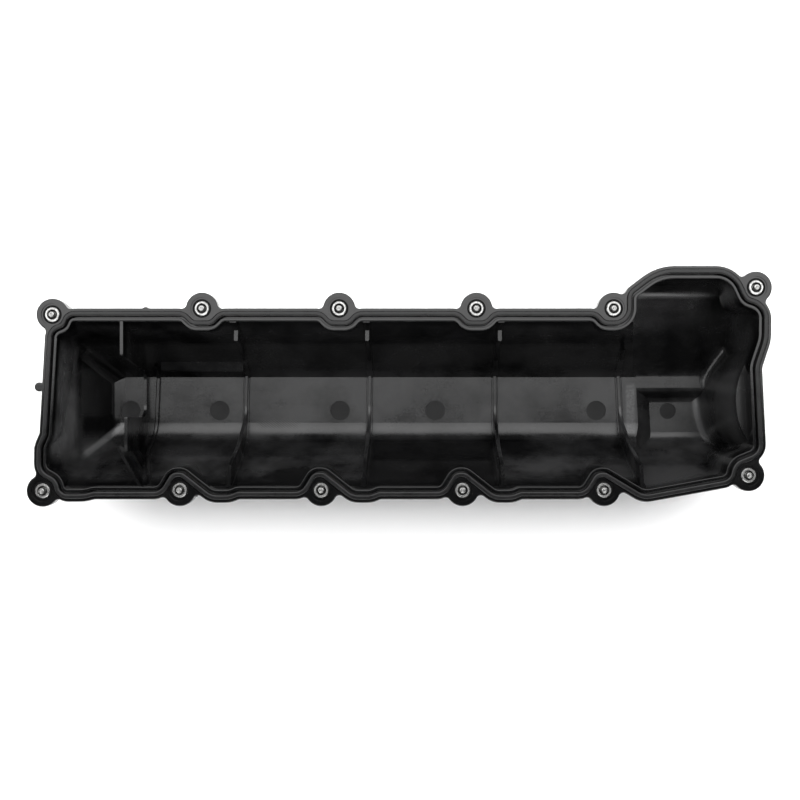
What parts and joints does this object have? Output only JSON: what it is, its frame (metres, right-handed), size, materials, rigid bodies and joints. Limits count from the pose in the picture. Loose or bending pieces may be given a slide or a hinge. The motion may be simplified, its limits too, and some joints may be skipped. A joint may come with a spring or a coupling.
{
  "type": "engine rocker cover",
  "caption": "Long moulded rocker cover, open side up, with a wide timing end, a bead gasket round its rim and captive screws in steel sleeves.",
  "frame": {"origin": "on the gasket's sealing plane, midway between the two long rows of screws", "axes": "+Z is the sealing plane's outward normal, towards the cylinder head; +X runs along the cylinders to the wide timing end; +Y is across the engine"},
  "size_m": [0.5377, 0.1739, 0.0903],
  "materials": {
    "cover_plastic": "satin moulded",
    "gasket_rubber": "moulded",
    "grommet_rubber": "matte",
    "sleeve_steel": "turned, zinc plated",
    "screw_steel": "zinc plated"
  },
  "bodies": {
    "cover": {"cover_shell": "cover_plastic", "gasket": "gasket_rubber", "limiter_sleeve_upper_1": "sleeve_steel", "grommet_upper_1": "grommet_rubber", "limiter_sleeve_upper_2": "sleeve_steel", "grommet_upper_2": "grommet_rubber", "limiter_sleeve_upper_3": "sleeve_steel", "grommet_upper_3": "grommet_rubber", "limiter_sleeve_upper_4": "sleeve_steel", "grommet_upper_4": "grommet_rubber", "limiter_sleeve_upper_5": "sleeve_steel", "grommet_upper_5": "grommet_rubber", "limiter_sleeve_upper_6": "sleeve_steel", "grommet_upper_6": "grommet_rubber", "limiter_sleeve_lower_1": "sleeve_steel", "grommet_lower_1": "grommet_rubber", "limiter_sleeve_lower_2": "sleeve_steel", "grommet_lower_2": "grommet_rubber", "limiter_sleeve_lower_3": "sleeve_steel", "grommet_lower_3": "grommet_rubber", "limiter_sleeve_lower_4": "sleeve_steel", "grommet_lower_4": "grommet_rubber", "limiter_sleeve_lower_5": "sleeve_steel", "grommet_lower_5": "grommet_rubber", "limiter_sleeve_lower_6": "sleeve_steel", "grommet_lower_6": "grommet_rubber"},
    "screw_upper_1": {"screw_upper_1": "screw_steel"},
    "screw_upper_2": {"screw_upper_2": "screw_steel"},
    "screw_upper_3": {"screw_upper_3": "screw_steel"},
    "screw_upper_4": {"screw_upper_4": "screw_steel"},
    "screw_upper_5": {"screw_upper_5": "screw_steel"},
    "screw_upper_6": {"screw_upper_6": "screw_steel"},
    "screw_lower_1": {"screw_lower_1": "screw_steel"},
    "screw_lower_2": {"screw_lower_2": "screw_steel"},
    "screw_lower_3": {"screw_lower_3": "screw_steel"},
    "screw_lower_4": {"screw_lower_4": "screw_steel"},
    "screw_lower_5": {"screw_lower_5": "screw_steel"},
    "screw_lower_6": {"screw_lower_6": "screw_steel"}
  },
  "joints": [
    {"name": "screw_upper_1_slide", "type": "slide", "parent": "cover", "child": "screw_upper_1", "axis": [0, 0, 1], "range_m": [0, 0.0119]},
    {"name": "screw_upper_2_slide", "type": "slide", "parent": "cover", "child": "screw_upper_2", "axis": [0, 0, 1], "range_m": [0, 0.0119]},
    {"name": "screw_upper_3_slide", "type": "slide", "parent": "cover", "child": "screw_upper_3", "axis": [0, 0, 1], "range_m": [0, 0.0119]},
    {"name": "screw_upper_4_slide", "type": "slide", "parent": "cover", "child": "screw_upper_4", "axis": [0, 0, 1], "range_m": [0, 0.0119]},
    {"name": "screw_upper_5_slide", "type": "slide", "parent": "cover", "child": "screw_upper_5", "axis": [0, 0, 1], "range_m": [0, 0.0119]},
    {"name": "screw_upper_6_slide", "type": "slide", "parent": "cover", "child": "screw_upper_6", "axis": [0, 0, 1], "range_m": [0, 0.0119]},
    {"name": "screw_lower_1_slide", "type": "slide", "parent": "cover", "child": "screw_lower_1", "axis": [0, 0, 1], "range_m": [0, 0.0119]},
    {"name": "screw_lower_2_slide", "type": "slide", "parent": "cover", "child": "screw_lower_2", "axis": [0, 0, 1], "range_m": [0, 0.0119]},
    {"name": "screw_lower_3_slide", "type": "slide", "parent": "cover", "child": "screw_lower_3", "axis": [0, 0, 1], "range_m": [0, 0.0119]},
    {"name": "screw_lower_4_slide", "type": "slide", "parent": "cover", "child": "screw_lower_4", "axis": [0, 0, 1], "range_m": [0, 0.0119]},
    {"name": "screw_lower_5_slide", "type": "slide", "parent": "cover", "child": "screw_lower_5", "axis": [0, 0, 1], "range_m": [0, 0.0119]},
    {"name": "screw_lower_6_slide", "type": "slide", "parent": "cover", "child": "screw_lower_6", "axis": [0, 0, 1], "range_m": [0, 0.0119]}
  ]
}
